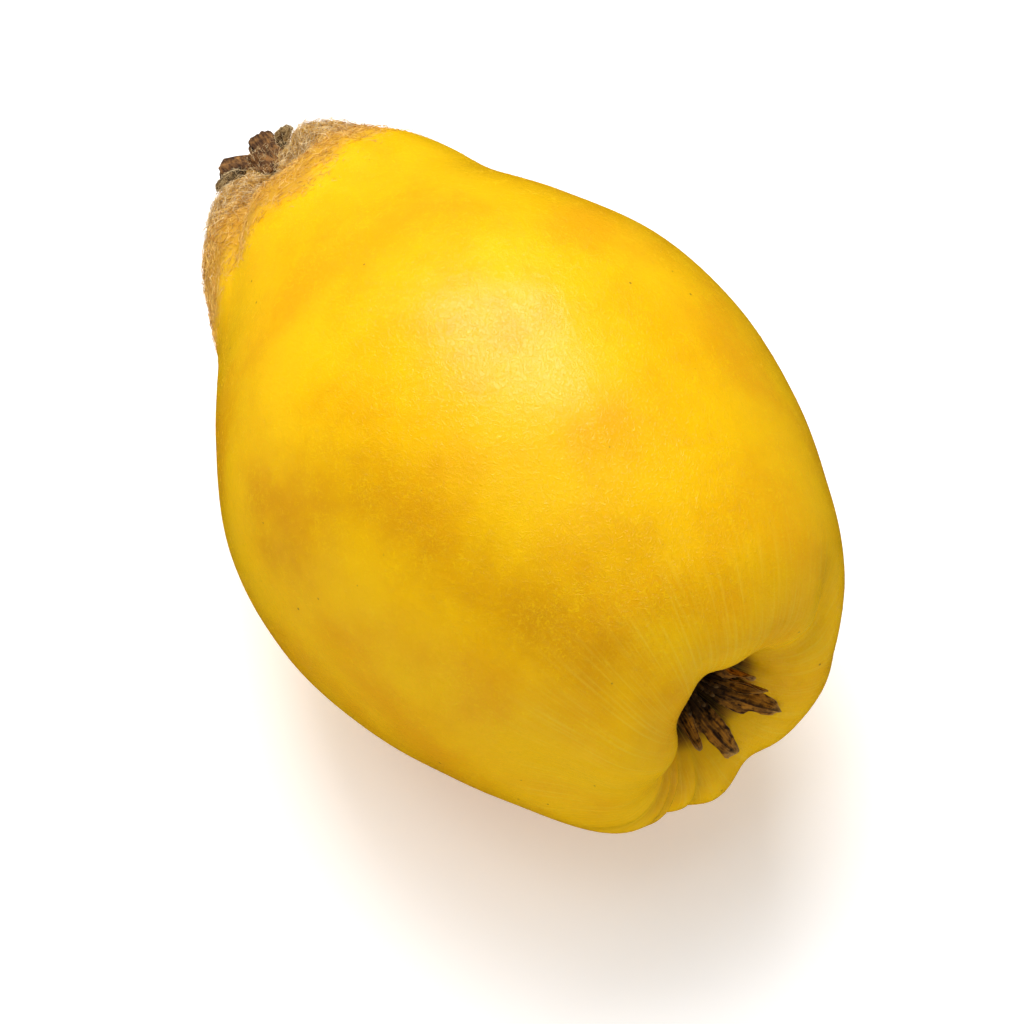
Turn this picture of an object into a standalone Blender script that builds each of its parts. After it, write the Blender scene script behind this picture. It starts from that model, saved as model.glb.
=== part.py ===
"""A ripe quince lying on its side: flesh, broken stalk, bud scales, and the dried flower in its basin.

Metres, +Z up. The core line runs along X, with the stalk end at -X and the flower end at +X.
The origin is the middle of the small flat spot that the fruit rests on.
"""

import math

import bmesh
import bpy
from mathutils import Matrix, Vector
from mathutils.geometry import interpolate_bezier

MM = 0.001

# Driving dimensions, in millimetres and degrees. A station is a distance along the core line from
# the stalk end, and an angle goes round the core line from the top of the fruit towards +Y.
MIDDLE_STATION = 58.5  # lies over the origin
CORE_HEIGHT = 35.9  # of the core line over the surface, at the middle station
CORE_SIDEWAYS = 0.6  # of the core line from the middle of the rest spot
TILT = 2.0  # the flower end is a little higher than the stalk end

# The flesh is a turned outline, (station, radius), from the stalk end over the belly into the
# flower basin.
FLESH_OUTLINE = [
    (-1.5, 0.0),  # middle of the blunt stalk end
    (-1.2, 3.5),
    (-0.4, 7.2),
    (1.2, 10.6),  # its rim
    (3.6, 13.6),
    (10.0, 17.8),  # shoulder
    (16.0, 20.4),
    (24.0, 23.5),  # neck
    (35.0, 29.6),
    (48.0, 35.1),
    (61.0, 36.5),  # belly
    (74.0, 34.5),
    (86.0, 30.3),
    (94.5, 26.0),
    (100.3, 21.5),
    (103.6, 16.5),  # rim of the flower basin
    (103.2, 12.5),
    (100.6, 9.2),
    (97.2, 6.8),
    (94.4, 4.6),
    (93.0, 2.0),
    (92.6, 0.0),  # floor of the basin
]
STALK_RIM = 3  # places in the outline
BASIN_RIM = 15
TURN_STEPS = 64
RINGS = 46
CURVE_STEPS = 24  # between two points of an outline
CENTRE_RADIUS = 6.0  # within this radius lobes and furrows fade out towards the core line

# Lobes and furrows of the skin: (angle, distance from the rim over the skin, height, half width in
# degrees, half length, lean in degrees for each millimetre away). A furrow's height is negative.
STALK_FOLDS = [
    (-85, 11, 0.6, 26, 6, 0),
    (-72, 1, 1.1, 20, 6, 0),
    (-22, 3, -7.0, 30, 7, 0),
    (14, 0, 1.9, 18, 5.5, 0),
    (50, 4, -2.4, 26, 8, 0),
    (20, 3, -1.2, 9, 11, 0),
    (-42, 5, -1.8, 8, 15, -0.8),
    (-121, 3, -1.4, 12, 13, 0),
    (167, 3, -1.4, 12, 13, 0),
    (95, 3, -1.4, 12, 13, 0),
]
BASIN_FOLDS = [
    (-10, -4, 2.4, 35, 8, 0),
    (-80, -5, 5.2, 38, 7, 0),
    (-12, -4, -1.6, 15, 6, 0),
    (182, 2, 1.2, 16, 8, 0),
    (-140, 3, 2.2, 24, 10, 0),
    (70, 1, -2.6, 12, 8, 0),
    (98, 6, -0.8, 12, 6, 0),
    (161, 2, -1.2, 11, 9, 0),
    (204, 2, -1.7, 7, 7, 0),
    (190, 0, -0.8, 5, 6, 0),
    (-92, 4, -1.0, 14, 8, 0),
]
BASIN_SHIFT = 1.5  # the basin lies this far off the core line
BASIN_SHIFT_ANGLE = 155.0
BASIN_SHIFT_REACH = 10.0  # from the rim over the skin, where the shift has faded out
BOW = 2.4  # both ends swing this way off a straight core line
BOW_SLANT = 1.0
BOW_ANGLE = 65.0
HALF_LENGTH = 52.0
BASIN_MIDDLE = (0.0, 1.9, -0.8)  # the basin's own middle line, off the straight core line

# Stubs and scales on the stalk end: name, knots (station, sideways, height) from root to tip,
# half width, half thickness, and the way that the flat side faces.
STALK_PIECES = [
    ("stalk_stub", [(-2.1, -0.2, -0.9), (-5.4, -0.2, -1.1), (-8.8, -0.3, -1.0)], 1.9, 1.6, (0, -0.3, 1)),
    ("side_shoot_stub", [(-2.1, -3.9, 0.7), (-3.9, -4.9, 0.3), (-5.9, -7.4, -1.0)], 1.8, 1.6, (0, -0.3, 1)),
    ("bud_stub", [(0.4, -3.8, 5.0), (-0.6, -3.9, 5.3), (-1.6, -3.9, 5.6)], 1.5, 1.0, (0, -0.3, 1)),
]
BUD_SCALES = [
    ("bud_scale_right", [(-2.1, 0.5, 3.0), (-3.1, 1.4, 3.6), (-4.2, 2.8, 4.2)], 1.4, 0.4, (0, 1, 0.4)),
    ("bud_scale_left", [(-0.5, -6.8, 4.4), (-1.1, -8.4, 3.6), (-1.3, -10.1, 2.2)], 1.2, 0.4, (-0.4, -0.4, 0.9)),
]

# Dried sepals on the basin's wall: name, knots (station, angle, radius from the basin's middle) from
# root to tip, half width.
SEPALS = [
    ("sepal_1", [(95.0, 138, 2.5), (97.8, 131, 5.4), (100.5, 125, 8.3), (103.7, 120, 12.1)], 1.7),
    ("sepal_2", [(95.2, 172, 2.5), (98.2, 167, 5.5), (101.4, 163, 8.9), (103.3, 160, 12.0)], 1.6),
    ("sepal_3", [(95.4, 108, 2.8), (98.4, 101, 5.4), (101.0, 99, 7.6), (102.8, 100, 9.3)], 0.6),
    ("sepal_4", [(95.4, 72, 2.8), (98.2, 66, 4.7), (100.4, 64, 6.2), (102.6, 67, 7.6)], 1.1),
    ("sepal_5", [(95.2, 205, 2.6), (97.6, 198, 4.4), (99.6, 191, 6.2), (102.2, 185, 8.0)], 0.8),
]
SEPAL_HALF_THICKNESS = 0.35
STAMEN_ANGLES = [95, 122, 152, 186]
STAMEN_KNOTS = [(94.6, 1.3), (97.2, 2.4), (99.6, 3.6)]  # (station, radius from the basin's middle)
STAMEN_RADIUS = 0.28

LEAF_WIDEST = 1.6  # over 1, the widest place of a leaf shape lies nearer its tip
LEAF_FULLNESS = 0.7  # under 1, its outline is fuller than a sine
STUB_BLUNTNESS = 8
STUB_FACETS = (14, 12)  # round a body and along it
SCALE_FACETS = (10, 8)
SEPAL_FACETS = (10, 10)
STAMEN_FACETS = (6, 8)
CREASE_ANGLE = 50.0  # sharper edges are shaded as edges

# name: colour, roughness
MATERIALS = {
    "ripe_skin": ((0.86, 0.50, 0.02), 0.45),
    "dead_wood": ((0.12, 0.055, 0.025), 0.75),
    "bud_scale": ((0.30, 0.20, 0.10), 0.85),
    "dried_sepal": ((0.13, 0.07, 0.025), 0.8),
}


def smooth_curve(knots, pieces):
    """Points at even distances along a smooth curve through the knots, and the knots' distances."""
    tangents = []
    for i, knot in enumerate(knots):
        before = knots[max(i - 1, 0)]
        after = knots[min(i + 1, len(knots) - 1)]
        tangents.append((after - before) / ((after - knot).length + (knot - before).length))
    line = [knots[0]]
    marks = [0]
    for i, (start, end) in enumerate(zip(knots, knots[1:])):
        third = (end - start).length / 3
        handles = start + tangents[i] * third, end - tangents[i + 1] * third
        line.extend(interpolate_bezier(start, *handles, end, CURVE_STEPS + 1)[1:])
        marks.append(len(line) - 1)
    lengths = [0.0]
    for start, end in zip(line, line[1:]):
        lengths.append(lengths[-1] + (end - start).length)
    points = []
    spot = 0
    for i in range(pieces + 1):
        wanted = lengths[-1] * i / pieces
        while spot < len(line) - 2 and lengths[spot + 1] < wanted:
            spot += 1
        share = (wanted - lengths[spot]) / (lengths[spot + 1] - lengths[spot])
        points.append(line[spot].lerp(line[spot + 1], share))
    return points, [lengths[mark] for mark in marks]


def bell(distance, half_width):
    return math.exp(-((distance / half_width) ** 2))


def turned_by(angle, middle):
    """The signed angle from the middle to the angle, between -180 and 180."""
    return (angle - middle + 180) % 360 - 180


def towards(angle):
    """The unit vector that points off the core line at this angle."""
    return Vector((0, math.sin(math.radians(angle)), math.cos(math.radians(angle))))


def fold_height(folds, angle, away):
    """What a list of lobes and furrows adds to the skin at this angle and distance from the rim."""
    total = 0.0
    for middle, start, height, half_width, half_length, lean in folds:
        centre = middle + lean * max(away - start, 0)
        total += height * bell(turned_by(angle, centre), half_width) * bell(away - start, half_length)
    return total


def flesh():
    """The whole fruit as one body: a turned outline, its lobes and furrows, and the bow of its core."""
    knots = [Vector((station, 0, radius)) for station, radius in FLESH_OUTLINE]
    outline, marks = smooth_curve(knots, RINGS)
    bm = bmesh.new()
    along = bm.verts.layers.float.new("along")
    rim = []
    for i, point in enumerate(outline):
        vert = bm.verts.new((point.x, 0, point.z))
        vert[along] = marks[-1] * i / RINGS
        rim.append(vert)
    edges = [bm.edges.new(pair) for pair in zip(rim, rim[1:])]
    bmesh.ops.spin(
        bm, geom=rim + edges, cent=(0, 0, 0), axis=(1, 0, 0), angle=math.tau, steps=TURN_STEPS, use_merge=True
    )
    bmesh.ops.remove_doubles(bm, verts=bm.verts, dist=1e-4)
    bmesh.ops.recalc_face_normals(bm, faces=bm.faces)
    bm.normal_update()
    moves = {}
    for vert in bm.verts:
        radius = math.hypot(vert.co.y, vert.co.z)
        angle = math.degrees(math.atan2(vert.co.y, vert.co.z))
        from_stalk = vert[along] - marks[STALK_RIM]
        from_basin = marks[BASIN_RIM] - vert[along]
        height = fold_height(STALK_FOLDS, angle, from_stalk) + fold_height(BASIN_FOLDS, angle, from_basin)
        near = 1 - min(max(from_basin / BASIN_SHIFT_REACH, 0), 1)
        shift = BASIN_SHIFT * near * near * (3 - 2 * near)
        share = vert.co.x / HALF_LENGTH - 1
        swing = BOW * (share * share - 1 / 3) + BOW_SLANT * share
        moves[vert] = vert.normal * height * min(1, radius / CENTRE_RADIUS)
        moves[vert] += towards(BASIN_SHIFT_ANGLE) * shift + towards(BOW_ANGLE) * swing
    for vert, move in moves.items():
        vert.co += move
    return bm


def leaf_outline(share):
    return math.sin(math.pi * share**LEAF_WIDEST) ** LEAF_FULLNESS


def stub_outline(share):
    return math.sqrt(1 - abs(2 * share - 1) ** STUB_BLUNTNESS)


def grown_body(knots, half_width, half_thickness, facing, outline, facets):
    """A closed body drawn out of a ball along a smooth curve through the knots."""
    around, along = facets
    middles, _ = smooth_curve(knots, along)
    bm = bmesh.new()
    bmesh.ops.create_uvsphere(bm, u_segments=around, v_segments=along, radius=1)
    for vert in bm.verts:
        place = round(along * math.acos(min(max(-vert.co.z, -1), 1)) / math.pi)
        turn = math.atan2(vert.co.y, vert.co.x)
        forward = (middles[min(place + 1, along)] - middles[max(place - 1, 0)]).normalized()
        side = facing.cross(forward).normalized()
        face = forward.cross(side)
        size = outline(place / along) if 0 < place < along else 0
        vert.co = middles[place]
        vert.co += side * (math.cos(turn) * size * half_width)
        vert.co += face * (math.sin(turn) * size * half_thickness)
    return bm


def in_basin(station, angle, radius):
    return Vector((station, 0, 0)) + Vector(BASIN_MIDDLE) + towards(angle) * radius


def flatten_underside(bm):
    """Cuts off what lies under the surface and closes the cut with one flat spot."""
    whole = bm.verts[:] + bm.edges[:] + bm.faces[:]
    cut = bmesh.ops.bisect_plane(bm, geom=whole, plane_co=(0, 0, 0), plane_no=(0, 0, -1), clear_outer=True)
    rim = [part for part in cut["geom_cut"] if isinstance(part, bmesh.types.BMEdge)]
    spot = bmesh.ops.edgeloop_fill(bm, edges=rim)
    bmesh.ops.poke(bm, faces=spot["faces"])


def finish_piece(name, bm, material, flat=False):
    """Puts a body made along the core line in its place as a named object with its material."""
    bmesh.ops.transform(bm, matrix=IN_PLACE, verts=bm.verts)
    if flat:
        flatten_underside(bm)
    mesh = bpy.data.meshes.new(name)
    bm.to_mesh(mesh)
    bm.free()
    mesh.shade_smooth()
    mesh.set_sharp_from_angle(angle=math.radians(CREASE_ANGLE))
    mesh.materials.append(MADE_MATERIALS[material])
    bpy.context.scene.collection.objects.link(bpy.data.objects.new(name, mesh))


def make_material(name, colour, roughness):
    material = bpy.data.materials.new(name)
    material.use_nodes = True
    shader = material.node_tree.nodes["Principled BSDF"]
    shader.inputs["Base Color"].default_value = (*colour, 1)
    shader.inputs["Roughness"].default_value = roughness
    return material


for old in list(bpy.data.objects):
    bpy.data.objects.remove(old)

IN_PLACE = (
    Matrix.Translation((0, CORE_SIDEWAYS * MM, CORE_HEIGHT * MM))
    @ Matrix.Rotation(-math.radians(TILT), 4, "Y")
    @ Matrix.Scale(MM, 4)
    @ Matrix.Translation((-MIDDLE_STATION, 0, 0))
)
MADE_MATERIALS = {name: make_material(name, *look) for name, look in MATERIALS.items()}

finish_piece("fruit", flesh(), "ripe_skin", flat=True)

for name, knots, half_width, half_thickness, facing in STALK_PIECES:
    middles = [Vector(knot) for knot in knots]
    body = grown_body(middles, half_width, half_thickness, Vector(facing), stub_outline, STUB_FACETS)
    finish_piece(name, body, "dead_wood")

for name, knots, half_width, half_thickness, facing in BUD_SCALES:
    middles = [Vector(knot) for knot in knots]
    body = grown_body(middles, half_width, half_thickness, Vector(facing), leaf_outline, SCALE_FACETS)
    finish_piece(name, body, "bud_scale")

for name, knots, half_width in SEPALS:
    middles = [in_basin(*knot) for knot in knots]
    outward = towards(knots[-1][1])
    body = grown_body(middles, half_width, SEPAL_HALF_THICKNESS, outward, leaf_outline, SEPAL_FACETS)
    finish_piece(name, body, "dried_sepal")

for number, angle in enumerate(STAMEN_ANGLES, start=1):
    middles = [in_basin(station, angle, radius) for station, radius in STAMEN_KNOTS]
    body = grown_body(middles, STAMEN_RADIUS, STAMEN_RADIUS, towards(angle), stub_outline, STAMEN_FACETS)
    finish_piece(f"stamen_{number}", body, "dried_sepal")
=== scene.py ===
"""A ripe quince lying on its side: its skin, felt, broken stalk and dried flower."""

import math
import random

import bmesh
import bpy
from mathutils import Matrix, Vector, noise
from mathutils.geometry import interpolate_bezier


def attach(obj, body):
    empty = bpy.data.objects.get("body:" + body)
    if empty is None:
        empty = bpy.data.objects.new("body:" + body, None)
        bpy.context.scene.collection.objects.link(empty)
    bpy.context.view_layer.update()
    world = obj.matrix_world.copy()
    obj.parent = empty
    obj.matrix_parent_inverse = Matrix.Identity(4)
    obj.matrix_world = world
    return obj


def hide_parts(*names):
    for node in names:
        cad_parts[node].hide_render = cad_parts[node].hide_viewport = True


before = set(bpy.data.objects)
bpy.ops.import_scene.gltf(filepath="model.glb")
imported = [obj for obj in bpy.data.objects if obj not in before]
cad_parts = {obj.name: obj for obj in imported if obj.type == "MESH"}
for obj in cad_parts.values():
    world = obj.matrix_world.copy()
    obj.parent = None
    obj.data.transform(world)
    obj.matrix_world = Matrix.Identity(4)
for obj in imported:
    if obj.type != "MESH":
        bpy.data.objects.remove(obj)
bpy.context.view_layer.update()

# The flesh and its skin, one body: an outline turned about the core line from the stalk end over
# the belly into the flower basin, with the lobes and furrows of both ends grown into it. Stations
# are millimetres along the core line, and angles go round it from the top towards +Y.
MM = 0.001
MIDDLE_STATION = 58.5
CORE_HEIGHT = 35.9
CORE_SIDEWAYS = 0.6
TILT = 2.0
FLESH_OUTLINE = [
    (-1.5, 0.0),  # middle of the blunt stalk end
    (-1.2, 3.5),
    (-0.4, 7.2),
    (1.2, 10.6),  # its rim
    (3.6, 13.6),
    (10.0, 17.8),  # shoulder
    (16.0, 20.4),
    (24.0, 23.5),  # neck
    (35.0, 29.6),
    (48.0, 35.1),
    (61.0, 36.5),  # belly
    (74.0, 34.5),
    (86.0, 30.3),
    (94.5, 26.0),
    (100.3, 21.5),
    (103.6, 16.5),  # rim of the flower basin
    (103.2, 12.5),
    (100.6, 9.2),
    (97.2, 6.8),
    (94.4, 4.6),
    (93.0, 2.0),
    (92.6, 0.0),  # floor of the basin
]
STALK_RIM = 3  # places in the outline
BASIN_RIM = 15
TURN_STEPS = 240
RINGS = 230
CURVE_STEPS = 24
CENTRE_RADIUS = 6.0
# angle, distance from the rim over the skin, height, half width, half length, lean
STALK_FOLDS = [
    (-85, 11, 0.6, 26, 6, 0),
    (-72, 1, 1.1, 20, 6, 0),
    (-22, 3, -7.0, 30, 7, 0),
    (14, 0, 1.9, 18, 5.5, 0),
    (50, 4, -2.4, 26, 8, 0),
    (20, 3, -1.2, 9, 11, 0),
    (-42, 5, -1.8, 8, 15, -0.8),
    (-121, 3, -1.4, 12, 13, 0),
    (167, 3, -1.4, 12, 13, 0),
    (95, 3, -1.4, 12, 13, 0),
]
BASIN_FOLDS = [
    (-10, -4, 2.4, 35, 8, 0),
    (-80, -5, 5.2, 38, 7, 0),
    (-12, -4, -1.6, 15, 6, 0),
    (182, 2, 1.2, 16, 8, 0),
    (-140, 3, 2.2, 24, 10, 0),
    (70, 1, -2.6, 12, 8, 0),
    (98, 6, -0.8, 12, 6, 0),
    (161, 2, -1.2, 11, 9, 0),
    (204, 2, -1.7, 7, 7, 0),
    (190, 0, -0.8, 5, 6, 0),
    (-92, 4, -1.0, 14, 8, 0),
]
# Sharp creases that run out of the folds: the same six values.
STALK_CREASES = [
    (-38, 6, -0.55, 2.6, 12, -1.3),
    (14, 8, -0.3, 3.0, 8, 0),
]
BASIN_CREASES = [
    (204, -1, -0.5, 3.0, 7, 0),
    (217, -1, -0.45, 3.4, 6, 0),
    (229, -1, -0.4, 3.4, 6, 0),
    (191, -2, -0.5, 3.0, 6, 0),
]
BASIN_SHIFT = 1.5
BASIN_SHIFT_ANGLE = 155.0
BASIN_SHIFT_REACH = 10.0
BOW = 2.4
BOW_SLANT = 1.0
BOW_ANGLE = 65.0
HALF_LENGTH = 52.0
UNEVENNESS = 0.10
UNEVENNESS_SCALE = 9.0
# How far over the skin from the stalk end's rim the felt reaches, and where it reaches further or
# less far: angle, how much further, half width
FELT_REACH = 14.0
FELT_TONGUES = [(-18, 6.0, 22), (-50, 4.0, 12), (-76, 6.0, 16), (-104, 6.0, 24), (45, -2.0, 20)]
FELT_FADE = 4.0
FELT_RAGGEDNESS = 1.5
PIT_DEPTHS = 6.5, 12.0  # over the skin from the basin's rim: where the browning starts, and where the painted shade is full
PIT_LIGHT = 2.5  # how much further down the browning and the painted shade start on one side
PIT_LIGHT_ANGLE = 55
PIT_LIGHT_HALF_WIDTH = 45
# Browner, riper patches, and one patch of painted shade on the near flank by the flower end
# (station 96, angle -38): station, angle, half length, half width in degrees, strength
RIPE_AND_SHADE_PATCHES = [
    (69, -45, 13, 13, 0.75),
    (60, -66, 12, 16, 0.7),
    (52, -30, 8, 9, 0.25),
    (95, -8, 7, 16, 0.45),
    (86, -40, 9, 16, 0.55),
    (96, -38, 9, 16, 0.6),
    (84, 20, 9, 14, 0.3),
    (42, -52, 9, 12, 0.3),
    (30, 8, 10, 9, 0.3),
    (70, 150, 16, 30, 0.5),
]
IN_PLACE = (
    Matrix.Translation((0, CORE_SIDEWAYS * MM, CORE_HEIGHT * MM))
    @ Matrix.Rotation(-math.radians(TILT), 4, "Y")
    @ Matrix.Scale(MM, 4)
    @ Matrix.Translation((-MIDDLE_STATION, 0, 0))
)


def smooth_curve(knots, pieces):
    """Points at even distances along a smooth curve through the knots, and the knots' distances."""
    tangents = []
    for i, knot in enumerate(knots):
        before = knots[max(i - 1, 0)]
        after = knots[min(i + 1, len(knots) - 1)]
        tangents.append((after - before) / ((after - knot).length + (knot - before).length))
    line = [knots[0]]
    marks = [0]
    for i, (start, end) in enumerate(zip(knots, knots[1:])):
        third = (end - start).length / 3
        handles = start + tangents[i] * third, end - tangents[i + 1] * third
        line.extend(interpolate_bezier(start, *handles, end, CURVE_STEPS + 1)[1:])
        marks.append(len(line) - 1)
    lengths = [0.0]
    for start, end in zip(line, line[1:]):
        lengths.append(lengths[-1] + (end - start).length)
    points = []
    spot = 0
    for i in range(pieces + 1):
        wanted = lengths[-1] * i / pieces
        while spot < len(line) - 2 and lengths[spot + 1] < wanted:
            spot += 1
        share = (wanted - lengths[spot]) / (lengths[spot + 1] - lengths[spot])
        points.append(line[spot].lerp(line[spot + 1], share))
    return points, [lengths[mark] for mark in marks]


def bell(distance, half_width):
    return math.exp(-((distance / half_width) ** 2))


def ease(low, high, value):
    """0 below low, 1 above high, smooth between."""
    share = min(max((value - low) / (high - low), 0), 1)
    return share * share * (3 - 2 * share)


def turned_by(angle, middle):
    """The signed angle from the middle to the angle, between -180 and 180."""
    return (angle - middle + 180) % 360 - 180


def towards(angle):
    """The unit vector that points off the core line at this angle."""
    return Vector((0, math.sin(math.radians(angle)), math.cos(math.radians(angle))))


def fold_height(folds, angle, away):
    """What a list of lobes and furrows adds to the skin at this angle and distance from the rim."""
    total = 0.0
    for middle, start, height, half_width, half_length, lean in folds:
        centre = middle + lean * max(away - start, 0)
        across = bell(turned_by(angle, centre), half_width)
        total += height * across * bell(away - start, half_length)
    return total


def felt_reach(angle):
    """How far over the skin from the stalk end's rim the felt reaches at this angle."""
    reach = FELT_REACH
    for middle, more, half_width in FELT_TONGUES:
        reach += more * bell(turned_by(angle, middle), half_width)
    return reach


def fruit_mesh():
    knots = [Vector((station, 0, radius)) for station, radius in FLESH_OUTLINE]
    outline, marks = smooth_curve(knots, RINGS)
    bm = bmesh.new()
    layers = {}
    for name in ("along", "felt", "fleece", "crease", "ripe", "pit", "lip"):
        layers[name] = bm.verts.layers.float.new(name)
    rim = []
    for i, point in enumerate(outline):
        vert = bm.verts.new((point.x, 0, point.z))
        vert[layers["along"]] = marks[-1] * i / RINGS
        rim.append(vert)
    edges = [bm.edges.new(pair) for pair in zip(rim, rim[1:])]
    bmesh.ops.spin(
        bm,
        geom=rim + edges,
        cent=(0, 0, 0),
        axis=(1, 0, 0),
        angle=math.tau,
        steps=TURN_STEPS,
        use_merge=True,
    )
    bmesh.ops.remove_doubles(bm, verts=bm.verts, dist=1e-4)
    bmesh.ops.recalc_face_normals(bm, faces=bm.faces)
    bm.normal_update()
    moves = {}
    for vert in bm.verts:
        radius = math.hypot(vert.co.y, vert.co.z)
        angle = math.degrees(math.atan2(vert.co.y, vert.co.z))
        from_stalk = vert[layers["along"]] - marks[STALK_RIM]
        from_basin = marks[BASIN_RIM] - vert[layers["along"]]
        height = fold_height(STALK_FOLDS, angle, from_stalk)
        height += fold_height(BASIN_FOLDS, angle, from_basin)
        crease = fold_height(STALK_CREASES, angle, from_stalk)
        crease += fold_height(BASIN_CREASES, angle, from_basin)
        shift = BASIN_SHIFT * (1 - ease(0, BASIN_SHIFT_REACH, from_basin))
        share = vert.co.x / HALF_LENGTH - 1
        swing = BOW * (share * share - 1 / 3) + BOW_SLANT * share
        uneven = UNEVENNESS * noise.noise(vert.co / UNEVENNESS_SCALE)
        moves[vert] = vert.normal * ((height + crease) * min(1, radius / CENTRE_RADIUS) + uneven)
        moves[vert] += towards(BASIN_SHIFT_ANGLE) * shift + towards(BOW_ANGLE) * swing
        reach = felt_reach(angle) + FELT_RAGGEDNESS * noise.noise(vert.co / 3)
        vert[layers["felt"]] = 1 - ease(reach - FELT_FADE, reach + FELT_FADE, from_stalk)
        vert[layers["fleece"]] = 1 - ease(0.1 * reach, 0.85 * reach, from_stalk)
        # the crease layer carries painted shade into the skin's furrows
        vert[layers["crease"]] = min(1, -crease * 2)
        # the pit layer leads the browning and the painted shade down the basin
        lit = PIT_LIGHT * bell(turned_by(angle, PIT_LIGHT_ANGLE), PIT_LIGHT_HALF_WIDTH)
        vert[layers["pit"]] = ease(PIT_DEPTHS[0] + lit, PIT_DEPTHS[1] + lit, -from_basin)
        vert[layers["lip"]] = 1 - ease(4, 20, abs(from_basin + 2))
        for station, middle, half_length, half_width, strength in RIPE_AND_SHADE_PATCHES:
            nearness = bell(vert.co.x - station, half_length)
            nearness *= bell(turned_by(angle, middle), half_width)
            vert[layers["ripe"]] += strength * nearness
    for vert, move in moves.items():
        vert.co += move
    bmesh.ops.transform(bm, matrix=IN_PLACE, verts=bm.verts)
    whole = bm.verts[:] + bm.edges[:] + bm.faces[:]
    cut = bmesh.ops.bisect_plane(
        bm, geom=whole, plane_co=(0, 0, 0), plane_no=(0, 0, -1), clear_outer=True
    )
    loop = [part for part in cut["geom_cut"] if isinstance(part, bmesh.types.BMEdge)]
    rest_spot = bmesh.ops.edgeloop_fill(bm, edges=loop)
    bmesh.ops.poke(bm, faces=rest_spot["faces"])
    return bm


GRAIN_ROUGHNESS = 0.55


class Wire:
    """An output of a shader node. Arithmetic on it adds Math nodes."""

    def __init__(self, tree, socket=None):
        self.tree = tree
        self.socket = socket

    def node(self, kind, settings=None, sockets=None, output=0):
        """Adds a node: its settings first, then the values or links of its sockets."""
        made = self.tree.nodes.new("ShaderNode" + kind)
        for name, value in (settings or {}).items():
            if name != "stops":
                setattr(made, name, value)
                continue
            while len(made.color_ramp.elements) < len(value):
                made.color_ramp.elements.new(1)
            for element, (place, colour) in zip(made.color_ramp.elements, value):
                element.position = place
                element.color = (*colour, 1)
        for name, value in (sockets or {}).items():
            if isinstance(value, Wire):
                self.tree.links.new(value.socket, made.inputs[name])
            else:
                made.inputs[name].default_value = value
        return Wire(self.tree, made.outputs[output])

    def maths(self, operation, first, second=0.0):
        return self.node("Math", {"operation": operation}, {0: first, 1: second})

    def __add__(self, other):
        return self.maths("ADD", self, other)

    def __sub__(self, other):
        return self.maths("SUBTRACT", self, other)

    def __mul__(self, other):
        return self.maths("MULTIPLY", self, other)

    def __abs__(self):
        return self.maths("ABSOLUTE", self)

    def between(self, low, high):
        """0 below low, 1 above high, smooth between; the other way round if low is the larger."""
        rises = low < high
        ends = {"From Min": min(low, high), "From Max": max(low, high)}
        ends.update({"To Min": 0.0 if rises else 1.0, "To Max": 1.0 if rises else 0.0})
        return self.node("MapRange", {"interpolation_type": "SMOOTHSTEP"}, {"Value": self, **ends})

    def pick(self, colour, other):
        """The first colour where this is 0, the other where it is 1."""
        start = colour if isinstance(colour, Wire) else (*colour, 1)
        colours = {0: self, 6: start, 7: (*other, 1)}
        return self.node("Mix", {"data_type": "RGBA"}, colours, output=2)

    def grain(self, where, size_mm, detail=2.0, distortion=0.0, stretch=(1, 1, 1)):
        """Noise with features of this size; a stretch over 1 makes them shorter that way."""
        scale = tuple(part / (size_mm * MM) for part in stretch)
        scaled = self.node("Mapping", {}, {"Vector": where, "Scale": scale})
        values = {"Vector": scaled, "Scale": 1.0, "Detail": detail, "Distortion": distortion}
        return self.node("TexNoise", {}, {**values, "Roughness": GRAIN_ROUGHNESS})

    def attribute(self, name):
        return self.node("Attribute", {"attribute_name": name}, output=2)


def new_finish(name, roughness, specular, sheen=0.0):
    """A material and the first wire of its node tree."""
    material = bpy.data.materials.new(name)
    material.use_nodes = True
    shader = material.node_tree.nodes["Principled BSDF"]
    shader.inputs["Roughness"].default_value = roughness
    shader.inputs["Specular IOR Level"].default_value = specular
    shader.inputs["Sheen Weight"].default_value = sheen
    return material, shader, Wire(material.node_tree)


def finish_from(wire, shader, colour, height=None, depth_mm=0.0):
    """Joins the colour and the bump height to the shader."""
    wire.tree.links.new(colour.socket, shader.inputs["Base Color"])
    if height:
        bump = wire.node("Bump", {}, {"Height": height, "Strength": 1.0, "Distance": depth_mm * MM})
        wire.tree.links.new(bump.socket, shader.inputs["Normal"])


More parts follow.
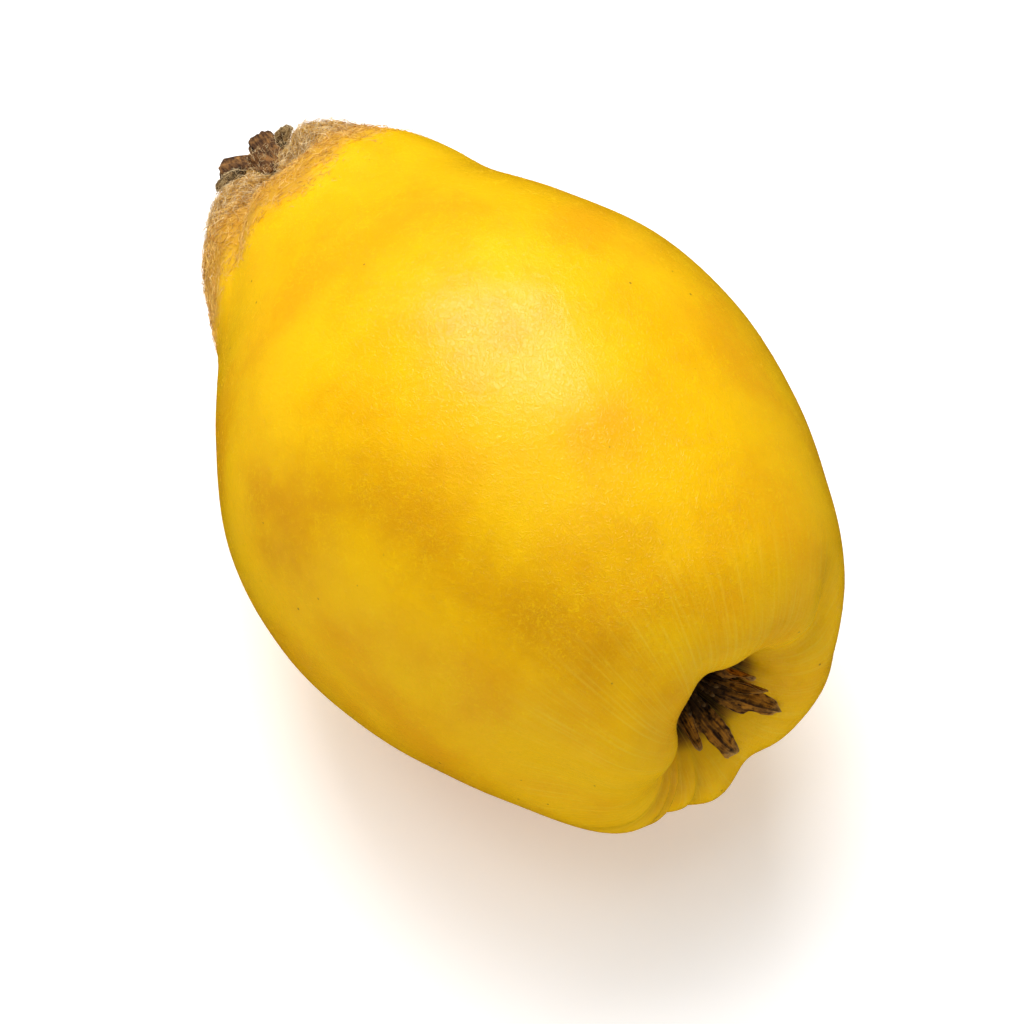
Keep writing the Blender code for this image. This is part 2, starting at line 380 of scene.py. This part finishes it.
def skin_finish():
    yellow = (0.92, 0.518, 0.0005)
    deep_yellow = (0.84, 0.395, 0.0005)
    ochre = (0.66, 0.29, 0.0005)
    down = (0.95, 0.62, 0.004)
    speck_brown = (0.20, 0.09, 0.01)
    felted_brown = (0.60, 0.29, 0.012)
    fleecy_brown = (0.36, 0.19, 0.05)
    crease_shade = (0.42, 0.22, 0.01)
    basin_brown = (0.36, 0.165, 0.010)
    basin_shade = (0.05, 0.022, 0.008)
    streak_yellow = (0.95, 0.68, 0.05)
    material, shader, wire = new_finish("ripe_skin", roughness=0.3, specular=0.34)
    place = wire.node("TexCoord", output="Object")
    cloudy = wire.grain(place, 16.0, detail=4.0)
    blotchy = wire.grain(place, 4.5, detail=5.0)
    # the riper patches, one of them painted shade, and random blotches turn the skin ochre
    ripe = wire.attribute("ripe") + (cloudy - 0.5) * 0.9 + (blotchy - 0.5) * 0.5
    colour = cloudy.between(0.35, 0.7).pick(yellow, deep_yellow)
    colour = (ripe.between(0.15, 1.1) * 0.85).pick(colour, ochre)
    # remains of the down: thin lines where a twisted noise crosses its middle
    strokes = abs(wire.grain(place, 1.1, detail=1.0, distortion=1.6) - 0.5).between(0.045, 0.0)
    fine_strokes = wire.grain(place, 0.55, detail=1.0, distortion=1.2)
    fine_strokes = abs(fine_strokes - 0.5).between(0.06, 0.0)
    near_stalk = wire.attribute("along").between(55.0, 22.0)
    thin_down = wire.grain(place, 7.0).between(0.35, 0.65) * 0.45 + near_stalk * 0.45 + 0.3
    colour = ((strokes * 0.5 + fine_strokes * 0.35) * thin_down).pick(colour, down)
    # pores and specks
    specks = wire.node("TexVoronoi", {}, {"Vector": place, "Scale": 420.0}).between(0.10, 0.05)
    some = wire.grain(place, 2.4, detail=0.0).between(0.62, 0.66)
    colour = (specks * some * 0.7).pick(colour, speck_brown)
    # the skin is browner under the felt, has painted shade in the creases, and down the basin turns
    # browner, then painted shade makes it almost black
    felted = wire.attribute("felt") + (blotchy - 0.5) * 0.5
    colour = (felted.between(0.1, 1.0) * 0.85).pick(colour, felted_brown)
    colour = (wire.attribute("fleece") * 0.8).pick(colour, fleecy_brown)
    # painted shade in the creases
    colour = (wire.attribute("crease") * 0.35).pick(colour, crease_shade)
    pit = wire.attribute("pit") + (blotchy - 0.5) * 0.6
    colour = pit.between(0.1, 0.6).pick(colour, basin_brown)
    colour = pit.between(0.45, 1.0).pick(colour, basin_shade)
    # fine pale streaks run over the rim into the basin
    sideways = wire.node("SeparateXYZ", {}, {"Vector": place}, output=1)
    upward = wire.node("SeparateXYZ", {}, {"Vector": place}, output=2) - CORE_HEIGHT * MM
    round_core = sideways.maths("ARCTAN2", sideways, upward)
    grown = wire.node("CombineXYZ", {}, {0: wire.attribute("along") * 0.09, 1: round_core * 52.0})
    streak_values = {"Vector": grown, "Scale": 1.0, "Detail": 4.0, "Roughness": 0.6}
    streaks = wire.node("TexNoise", {}, streak_values)
    lip = wire.attribute("lip")
    colour = (streaks.between(0.45, 0.75) * lip * 0.4).pick(colour, streak_yellow)
    ripples = wire.grain(place, 1.0, detail=3.0, distortion=0.6, stretch=(0.7, 1, 1))
    height = strokes * 0.25 + fine_strokes * 0.2 + ripples * 1.0 + streaks * lip * 0.8
    rough = blotchy * 0.10 + 0.14 + wire.attribute("felt") * 0.4
    wire.tree.links.new(rough.socket, shader.inputs["Roughness"])
    finish_from(wire, shader, colour, height, depth_mm=0.07)
    return material


def add_piece(name, mesh, material):
    """One piece of the object, which goes where the whole fruit goes."""
    mesh.materials.clear()
    mesh.materials.append(material)
    piece = bpy.data.objects.new(name, mesh)
    bpy.context.scene.collection.objects.link(piece)
    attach(piece, "root")
    return piece


def finish_body(name, bm, material, node):
    """Makes a closed body, which is in its place already, one piece in place of the CAD node."""
    mesh = bpy.data.meshes.new(name)
    bm.to_mesh(mesh)
    bm.free()
    mesh.shade_smooth()
    piece = add_piece(name, mesh, material)
    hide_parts(node)
    return piece


fruit = finish_body("fruit_skin", fruit_mesh(), skin_finish(), "fruit")

# The down and the felt: hairs of the skin itself. Curled tan and cream hairs lie thick over the
# stalk end and down its furrow, and short pale ones are left here and there on the ripe skin.
FELT_HAIRS = 15000
FLEECE_HAIRS = 7000
DOWN_HAIRS = 16000
FELT_HALF_WIDTH = 0.045
DOWN_HALF_WIDTH = 0.014
DOWN_REACH = 34.0  # over this distance from the stalk end the down thins out
HAIR_STEPS = 5
HAIR_TIP = 0.4  # a tip's width as a share of the root's
ROOT_DEPTH = 0.05
HAIR_DROOP = 1.3


def rooted(mesh, count, density, seed):
    """Places on a mesh's faces, with their normals, taken at random by the faces' density."""
    dice = random.Random(seed)
    weights = [density(face.index) * face.area for face in mesh.polygons]
    for index in dice.choices(range(len(weights)), weights, k=count):
        face = mesh.polygons[index]
        corners = [mesh.vertices[i].co for i in face.vertices]
        first, second = dice.random(), dice.random()
        low = corners[0].lerp(corners[1], first)
        high = corners[-1].lerp(corners[2 if len(corners) > 3 else 1], first)
        yield low.lerp(high, second), face.normal.copy(), dice


def hairs(name, roots, half_width_mm, material, grow):
    """Thin curled ribbons, one from each root; grow gives the steps of one hair."""
    curve = bpy.data.curves.new(name, "CURVE")
    curve.dimensions = "3D"
    curve.extrude = half_width_mm * MM
    for root, normal, dice in roots:
        points = grow(root, normal, dice)
        strand = curve.splines.new("POLY")
        strand.points.add(len(points) - 1)
        turn = dice.uniform(0, math.pi)
        for i, point in enumerate(points):
            strand.points[i].co = (*point, 1)
            strand.points[i].radius = 1 - (1 - HAIR_TIP) * i / (len(points) - 1)
            strand.points[i].tilt = turn
    made = bpy.data.objects.new(name, curve)
    mesh = bpy.data.meshes.new_from_object(made)
    bpy.data.objects.remove(made)
    mesh.name = name
    add_piece(name, mesh, material)


def curled(length_mm, lift, curl):
    """A way of growing: the hair leaves the skin by lift, then lies down and curls."""

    def grow(root, normal, dice):
        length = length_mm * MM * dice.uniform(0.5, 1.3)
        lay = noise.noise_vector(root / (3.0 * MM))
        lay = lay + Vector((dice.gauss(0, 1), dice.gauss(0, 1), dice.gauss(0, 1)))
        lay = (lay - normal * lay.dot(normal)).normalized()
        across = normal.cross(lay)
        bend = dice.uniform(-curl, curl)
        rise = lift * dice.uniform(0.4, 1.3)
        point = root - normal * ROOT_DEPTH * MM
        points = [point.copy()]
        angle = 0.0
        for step in range(HAIR_STEPS):
            up = rise * (1 - HAIR_DROOP * step / HAIR_STEPS)
            way = normal * up + lay * math.cos(angle) + across * math.sin(angle)
            point = point + way.normalized() * (length / HAIR_STEPS)
            points.append(point.copy())
            angle += bend + dice.gauss(0, curl * 0.35)
        return points

    return grow


def hair_finish(name, light, dark):
    material, shader, wire = new_finish(name, roughness=0.75, specular=0.12, sheen=0.1)
    place = wire.node("TexCoord", output="Object")
    colour = wire.grain(place, 1.6, detail=3.0).between(0.35, 0.68).pick(light, dark)
    finish_from(wire, shader, colour)
    return material


def on_faces(mesh, name):
    """The value of a vertex layer at each face."""
    values = mesh.attributes[name].data
    return [values[face.vertices[0]].value for face in mesh.polygons]


felted = on_faces(fruit.data, "felt")
fleecy = on_faces(fruit.data, "fleece")
from_end = on_faces(fruit.data, "along")

tan_felt = hair_finish("tan_felt", (0.86, 0.56, 0.15), (0.58, 0.31, 0.05))
cream_felt = hair_finish("cream_felt", (0.82, 0.64, 0.36), (0.52, 0.35, 0.15))
fair_down = hair_finish("fair_down", (0.95, 0.64, 0.008), (0.85, 0.50, 0.004))


def felt_density(index):
    return felted[index] * (0.35 + 0.65 * fleecy[index])


def fleece_density(index):
    return fleecy[index] ** 2


def down_density(index):
    return 1 + 4 * bell(from_end[index], DOWN_REACH) - 0.9 * felted[index]


felt_roots = rooted(fruit.data, FELT_HAIRS, felt_density, seed=1)
hairs("felt", felt_roots, FELT_HALF_WIDTH, tan_felt, curled(1.7, 0.4, 0.9))
fleece_roots = rooted(fruit.data, FLEECE_HAIRS, fleece_density, seed=2)
hairs("fleece", fleece_roots, FELT_HALF_WIDTH, cream_felt, curled(1.8, 0.8, 0.8))
down_roots = rooted(fruit.data, DOWN_HAIRS, down_density, seed=3)
hairs("down", down_roots, DOWN_HALF_WIDTH, fair_down, curled(0.8, 0.25, 0.7))

# The broken stalk, the side shoot's stub beside it and the knob in front of them: dry wood with
# ridges of fibre along it, each snapped off at an uneven end.
WOOD_FACETS = (56, 60)
WOOD_FACING = (0, -0.3, 1)
STUB_FLARE = 0.25
FIBRE_RIDGES = 0.16
KNOBBLINESS = 0.13
SNAPPED_FROM = 0.85
KNOB_HAIRS = 420
# name, node, knots of the middle line, half width, half thickness
STUBS = [
    (
        "stalk_wood",
        "stalk_stub",
        [(0.4, -0.2, -0.8), (-4.2, -0.2, -1.0), (-8.8, -0.3, -1.0)],
        1.9,
        1.6,
    ),
    (
        "side_shoot_wood",
        "side_shoot_stub",
        [(0.2, -3.2, 0.9), (-3.2, -4.3, 0.3), (-5.9, -7.4, -1.0)],
        1.95,
        1.75,
    ),
    (
        "knob_wood",
        "bud_stub",
        [(2.4, -3.6, 4.6), (0.3, -3.8, 5.1), (-1.7, -3.9, 5.6)],
        1.6,
        1.1,
    ),
]


def grown_body(knots, facing, facets, section):
    """A closed body in its place, drawn out of a ball along a smooth curve through the knots.

    section(share, turn) gives a point's place beside the curve, over it and along it, at this share
    of the length and this angle round it.
    """
    around, along = facets
    middles, _ = smooth_curve([Vector(knot) for knot in knots], along)
    bm = bmesh.new()
    share_of = bm.verts.layers.float.new("share")
    across_of = bm.verts.layers.float.new("across")
    bmesh.ops.create_uvsphere(bm, u_segments=around, v_segments=along, radius=1)
    for vert in bm.verts:
        place = round(along * math.acos(min(max(-vert.co.z, -1), 1)) / math.pi)
        turn = math.atan2(vert.co.y, vert.co.x)
        forward = (middles[min(place + 1, along)] - middles[max(place - 1, 0)]).normalized()
        side = Vector(facing).cross(forward).normalized()
        face = forward.cross(side)
        beside, over, ahead = section(place / along, turn)
        if place in (0, along):
            beside = 0
        vert[share_of] = place / along
        vert[across_of] = math.cos(turn) if 0 < place < along else 1
        vert.co = middles[place] + side * beside + face * over + forward * ahead
    bmesh.ops.transform(bm, matrix=IN_PLACE, verts=bm.verts)
    return bm


def snapped_wood(half_width, half_thickness, seed):
    """The section of a stub: a round of wood with ridges along it, wider at the root."""

    def section(share, turn):
        across, up = math.cos(turn), math.sin(turn)
        ridge = noise.noise(Vector((across * 4.5, up * 4.5, share * 1.2 + seed)))
        knobbly = noise.noise(Vector((across, up, share * 4 + seed)))
        size = math.sqrt(max(0, 1 - abs(2 * share - 1) ** 22)) * (1 + STUB_FLARE * (1 - share) ** 2)
        size *= 1 + FIBRE_RIDGES * ridge + KNOBBLINESS * knobbly
        jagged = 0.55 * noise.noise(Vector((across * size * 2.5, up * size * 2.5, seed)))
        ahead = jagged * ease(SNAPPED_FROM, 1.0, share)
        return across * size * half_width, up * size * half_thickness, ahead

    return section


def wood_finish():
    material, shader, wire = new_finish("dead_wood", roughness=0.75, specular=0.25)
    place = wire.node("TexCoord", output="Object")
    fibres = wire.grain(place, 0.32, detail=4.0, stretch=(0.22, 1, 1))
    blotchy = wire.grain(place, 1.3, detail=4.0)
    bark = [
        (0.34, (0.014, 0.006, 0.003)),
        (0.47, (0.10, 0.042, 0.014)),
        (0.58, (0.27, 0.125, 0.035)),
        (0.70, (0.55, 0.25, 0.06)),
    ]
    colour = wire.node("ValToRGB", {"stops": bark}, {"Fac": fibres * 0.45 + blotchy * 0.55})
    broken = (wire.attribute("share") + (blotchy - 0.5) * 0.06).between(0.95, 0.985)
    colour = (broken * 0.45).pick(colour, (0.26, 0.12, 0.045))
    finish_from(wire, shader, colour, fibres, depth_mm=0.35)
    return material


def all_over(index):
    return 1.0


dead_wood = wood_finish()
for seed, (name, node, knots, half_width, half_thickness) in enumerate(STUBS):
    section = snapped_wood(half_width, half_thickness, seed * 7.3 + 1.1)
    body = grown_body(knots, WOOD_FACING, WOOD_FACETS, section)
    piece = finish_body(name, body, dead_wood, node)
# the knob comes last, and short felt is left on it
knob_roots = rooted(piece.data, KNOB_HAIRS, all_over, seed=11)
hairs("knob_felt", knob_roots, 0.03, cream_felt, curled(1.0, 0.3, 0.8))

# Two dried bud scales beside the stubs: small felted leaves, folded along the middle, with cream
# felt on the outside and a grey-brown crumpled edge.
LEAF_FACETS = (36, 48)
SCALE_HAIRS = 420
# name, node, knots of the middle line, the way its face looks, half width
SCALES = [
    (
        "scale_right",
        "bud_scale_right",
        [(-0.6, 0.3, 2.6), (-2.6, 1.1, 3.4), (-4.2, 2.8, 4.2)],
        (0, 1, 0.4),
        1.7,
    ),
    (
        "scale_left",
        "bud_scale_left",
        [(0.3, -6.6, 5.2), (-0.9, -8.8, 4.5), (-1.1, -10.6, 3.0)],
        (-0.4, -0.4, 0.9),
        1.7,
    ),
]


def crumpled_leaf(half_width, half_thickness, fold, cup, ripple, tip, seed, widest=1.5):
    """The section of a dried leaf: folded along its middle, cupped, with a crumpled edge.

    tip is how broad its end is, from 0 for a point to 1 for a broken-off end, and a larger widest
    puts its broadest place nearer the end.
    """

    def section(share, turn):
        pointed = math.sin(math.pi * share**widest) ** 0.7 if share < 1 else 0
        broken = math.sqrt(max(0, 1 - abs(2 * share - 1) ** 14))
        outline = pointed * (1 - tip) + broken * tip * (0.6 + 0.4 * pointed)
        across = math.cos(turn)
        ragged = 1 + 0.16 * noise.noise(Vector((share * 9, math.copysign(3, across), seed)))
        beside = across * outline * half_width * ragged
        edge = abs(across)
        bent = (fold * edge + cup * edge * edge) * outline * half_width
        wave = ripple * edge * math.sin(share * 11 + seed + math.copysign(1.3, across))
        crumple = 0.22 * noise.noise(Vector((beside * 0.9, share * 6, seed))) * min(1, share * 4)
        skin = math.sin(turn) * half_thickness * min(1, outline * 3) * (1 - 0.6 * edge)
        ahead = 0.9 * noise.noise(Vector((beside * 1.1, seed, 0))) * ease(0.7, 1.0, share)
        return beside, bent + wave * outline + crumple + skin, ahead

    return section


def leaf_finish(name, dark, light, pale, depth_mm=0.2):
    """Dried leaf: mottled from dark to light, with painted shade towards its root, and pale thin
    edges.
    """
    material, shader, wire = new_finish(name, roughness=0.7, specular=0.14)
    place = wire.node("TexCoord", output="Object")
    mottled = wire.grain(place, 0.8, detail=6.0)
    across = wire.attribute("across")
    along = wire.attribute("share")
    blade = wire.node("CombineXYZ", {}, {0: across * 5.0, 1: along * 4.0, 2: mottled * 1.5})
    vein_values = {"Vector": blade, "Scale": 1.0, "Detail": 5.0, "Roughness": 0.6}
    veins = wire.node("TexNoise", {}, vein_values)
    colour = (mottled * 0.4 + veins * 0.6).between(0.38, 0.64).pick(dark, light)
    root = along + (mottled - 0.5) * 0.3
    # painted shade darkens the leaf towards its root
    root_shade = tuple(part * 0.25 for part in dark)
    colour = (root.between(0.62, 0.30) * 0.85).pick(colour, root_shade)
    midrib = (abs(across) + (veins - 0.5) * 0.1).between(0.16, 0.04)
    colour = (midrib * 0.6).pick(colour, dark)
    edge = abs(across) + (veins - 0.5) * 0.12
    colour = (edge.between(0.95, 1.0) * root.between(0.35, 0.6) * 0.7).pick(colour, pale)
    tip = along + (mottled - 0.5) * 0.2
    colour = (tip.between(0.86, 1.02) * 0.5).pick(colour, pale)
    finish_from(wire, shader, colour, mottled * 0.6 + veins * 0.4, depth_mm)
    return material


scale_finish = leaf_finish(
    "bud_scale", dark=(0.07, 0.038, 0.014), light=(0.38, 0.25, 0.10), pale=(0.66, 0.53, 0.34)
)
for seed, (name, node, knots, facing, half_width) in enumerate(SCALES):
    section = crumpled_leaf(
        half_width, half_thickness=0.3, fold=-0.35, cup=-0.3, ripple=0.2, tip=0.3, seed=seed + 4.0
    )
    body = grown_body(knots, facing, LEAF_FACETS, section)
    piece = finish_body(name, body, scale_finish, node)
    fuzz = rooted(piece.data, SCALE_HAIRS, all_over, seed=20 + seed)
    hairs(name + "_felt", fuzz, 0.025, cream_felt, curled(0.9, 0.3, 0.7))

# The five dried sepals round the middle of the basin: brittle brown leaves with a folded midrib,
# mottled blades and thin pale edges, two of them long and broad, the rest curled and small.
BASIN_MIDDLE = Vector((0.0, 1.9, -0.8))
SEPAL_HALF_THICKNESS = 0.2
SEPAL_WIDEST = 1.35
# name, knots of the middle line (station, angle, radius), half width, fold, cup, ripple, tip
SEPALS = [
    (
        "sepal_1",
        [(95.0, 138, 2.5), (97.8, 131, 5.4), (100.5, 125, 8.3), (103.7, 120, 12.1)],
        *(2.2, -0.7, 0.35, 0.15, 0.0),
    ),
    (
        "sepal_2",
        [(95.2, 172, 2.5), (98.2, 167, 5.5), (101.4, 163, 8.9), (103.3, 160, 12.0)],
        *(1.9, -0.6, 0.3, 0.2, 0.8),
    ),
    (
        "sepal_3",
        [(95.4, 108, 2.8), (98.4, 101, 5.4), (101.0, 99, 7.6), (102.8, 100, 9.3)],
        *(0.75, 0.9, 0.3, 0.2, 0.3),
    ),
    (
        "sepal_4",
        [(95.4, 72, 2.8), (98.2, 66, 4.7), (100.4, 64, 6.2), (102.6, 67, 7.6)],
        *(1.3, 0.3, 0.2, 0.25, 0.2),
    ),
    (
        "sepal_5",
        [(95.2, 205, 2.6), (97.6, 198, 4.4), (99.6, 191, 6.2), (102.2, 185, 8.0)],
        *(1.0, 0.9, 0.3, 0.25, 0.4),
    ),
]


def in_basin(station, angle, radius):
    return Vector((station, 0, 0)) + BASIN_MIDDLE + towards(angle) * radius


sepal_finish = leaf_finish(
    "dried_sepal",
    dark=(0.026, 0.008, 0.001),
    light=(0.46, 0.19, 0.014),
    pale=(0.66, 0.40, 0.12),
    depth_mm=0.35,
)
for seed, (name, knots, half_width, fold, cup, ripple, tip) in enumerate(SEPALS):
    middles = [in_basin(*knot) for knot in knots]
    section = crumpled_leaf(
        half_width, SEPAL_HALF_THICKNESS, fold, cup, ripple, tip, seed * 2.7 + 9, SEPAL_WIDEST
    )
    body = grown_body(middles, -towards(knots[-1][1]), LEAF_FACETS, section)
    finish_body(name + "_blade", body, sepal_finish, name)

# What is left of the stamens in the middle of the basin: thin dried threads, beaded along their
# length, that stand round the pit.
STAMEN_ANGLES = [95, 122, 152, 186]
STAMEN_KNOTS = [(94.6, 1.3), (97.2, 2.4), (99.6, 3.6)]
STAMEN_RADIUS = 0.28
STAMEN_FACETS = (10, 56)
BEADS = 7


def beaded(share, turn):
    size = math.sqrt(max(0, 1 - abs(2 * share - 1) ** 10)) * STAMEN_RADIUS
    size *= 0.8 + 0.35 * abs(math.sin(math.pi * BEADS * share))
    return math.cos(turn) * size, math.sin(turn) * size, 0


stamen_finish = leaf_finish(
    "dried_stamen", dark=(0.02, 0.009, 0.002), light=(0.12, 0.06, 0.012), pale=(0.22, 0.13, 0.04)
)
for number, angle in enumerate(STAMEN_ANGLES, start=1):
    middles = [in_basin(station, angle, radius) for station, radius in STAMEN_KNOTS]
    body = grown_body(middles, towards(angle), STAMEN_FACETS, beaded)
    node = f"stamen_{number}"
    finish_body(node + "_thread", body, stamen_finish, node)

# The floor that the fruit lies on: one plain, pale, matt sheet. It glows a little, so that it stays
# even and nearly white all round the fruit, and isn't seen in the skin's gloss.
FLOOR_HALF_WIDTH = 3.0
FLOOR_GLOW = 0.27
floor_bm = bmesh.new()
bmesh.ops.create_grid(floor_bm, x_segments=1, y_segments=1, size=FLOOR_HALF_WIDTH)
floor_mesh = bpy.data.meshes.new("floor")
floor_bm.to_mesh(floor_mesh)
floor_bm.free()
floor = bpy.data.objects.new("floor", floor_mesh)
bpy.context.scene.collection.objects.link(floor)
floor_finish, floor_shader, _ = new_finish("pale_floor", roughness=0.9, specular=0.1)
floor_shader.inputs["Base Color"].default_value = (0.90, 0.90, 0.90, 1)
floor_shader.inputs["Emission Color"].default_value = (1, 1, 1, 1)
floor_shader.inputs["Emission Strength"].default_value = FLOOR_GLOW
floor_mesh.materials.append(floor_finish)
floor.visible_glossy = False

# Soft studio light: a broad softbox high up behind the stalk end, a weaker one overhead that only
# softens the shadow, and an even pale surround.
SURROUND_COLOUR = (0.98, 0.985, 1.0, 1)
SURROUND_STRENGTH = 0.38
AIM = Vector((0.0002, 0.0006, 0.0271))  # what the lights and the camera point at
world = bpy.data.worlds.new("surround")
world.use_nodes = True
world.node_tree.nodes["Background"].inputs["Color"].default_value = SURROUND_COLOUR
world.node_tree.nodes["Background"].inputs["Strength"].default_value = SURROUND_STRENGTH
world.cycles_visibility.glossy = False
bpy.context.scene.world = world


def softbox(name, way, distance, size, watts, mirrored=True):
    light = bpy.data.lights.new(name, "AREA")
    light.size = size
    light.energy = watts
    lamp = bpy.data.objects.new(name, light)
    lamp.location = AIM + Vector(way).normalized() * distance
    lamp.rotation_mode = "QUATERNION"
    lamp.rotation_quaternion = Vector(way).to_track_quat("Z", "Y")
    lamp.visible_glossy = mirrored
    bpy.context.scene.collection.objects.link(lamp)


softbox(
    "overhead_light", way=(-0.10, -0.30, 1.0), distance=1.1, size=0.8, watts=4.0, mirrored=False
)
softbox("key_light", way=(-0.46, 0.167, 0.87), distance=1.1, size=0.78, watts=12.0)

# The camera looks down on the fruit from beyond its flower end, about half a metre away. Colours
# are shown as they are, without a film's tones.
CAMERA_DISTANCE = 0.55
SENSOR_WIDTH = 36
VIEW_WIDTH = 0.13312  # metres across the view at the aim
AZIMUTH, ELEVATION = math.radians(59.3), math.radians(56.0)
camera = bpy.data.objects.new("camera", bpy.data.cameras.new("camera"))
back = Vector(
    (
        math.sin(AZIMUTH) * math.cos(ELEVATION),
        -math.cos(AZIMUTH) * math.cos(ELEVATION),
        math.sin(ELEVATION),
    )
)
camera.location = AIM + back * CAMERA_DISTANCE
camera.rotation_mode = "QUATERNION"
camera.rotation_quaternion = (-back).to_track_quat("-Z", "Y")
camera.data.sensor_width = SENSOR_WIDTH
camera.data.lens = SENSOR_WIDTH * CAMERA_DISTANCE / VIEW_WIDTH
camera.data.clip_start = 0.01
bpy.context.scene.collection.objects.link(camera)
bpy.context.scene.camera = camera
bpy.context.scene.view_settings.view_transform = "Standard"
